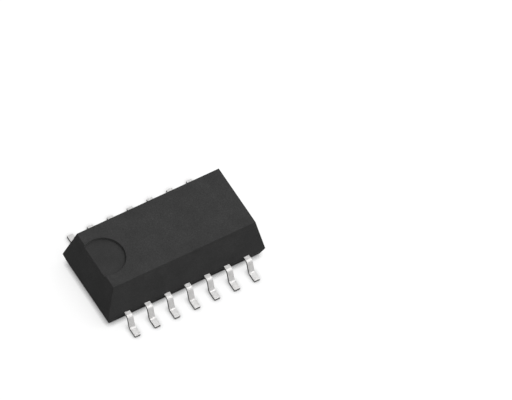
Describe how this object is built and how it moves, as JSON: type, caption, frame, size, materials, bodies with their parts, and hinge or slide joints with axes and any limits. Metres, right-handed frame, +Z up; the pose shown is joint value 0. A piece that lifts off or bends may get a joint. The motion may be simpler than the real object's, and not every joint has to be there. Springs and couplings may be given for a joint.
{
  "type": "comparator chip",
  "caption": "Small-outline comparator chip: a drafted dark moulded body with a round index recess on formed gull-wing leads, with die, paddle and bond wires inside.",
  "frame": {"origin": "centre of the package on the plane that the feet stand on", "axes": "+X along the body away from the index recess, +Y across it from lead 1's side to lead 14's side, +Z up"},
  "size_m": [0.01, 0.0074, 0.0031],
  "materials": {
    "mould_compound": "fine matte moulded epoxy",
    "tin_plate": "matte tin plate on copper alloy",
    "copper_alloy": "bare rolled copper alloy",
    "die_adhesive": "silver-filled epoxy",
    "silicon": "polished silicon",
    "gold_wire": "drawn gold"
  },
  "bodies": {
    "root": {"package_body": "mould_compound", "die_paddle": "copper_alloy", "die_attach": "die_adhesive", "die": "silicon", "lead_01": "tin_plate", "lead_02": "tin_plate", "lead_03": "tin_plate", "lead_04": "tin_plate", "lead_05": "tin_plate", "lead_06": "tin_plate", "lead_07": "tin_plate", "lead_08": "tin_plate", "lead_09": "tin_plate", "lead_10": "tin_plate", "lead_11": "tin_plate", "lead_12": "tin_plate", "lead_13": "tin_plate", "lead_14": "tin_plate", "bond_wire_01": "gold_wire", "bond_wire_02": "gold_wire", "bond_wire_03": "gold_wire", "bond_wire_04": "gold_wire", "bond_wire_05": "gold_wire", "bond_wire_06": "gold_wire", "bond_wire_07": "gold_wire", "bond_wire_08": "gold_wire", "bond_wire_09": "gold_wire", "bond_wire_10": "gold_wire", "bond_wire_11": "gold_wire", "bond_wire_12": "gold_wire", "bond_wire_13": "gold_wire", "bond_wire_14": "gold_wire"}
  },
  "joints": []
}
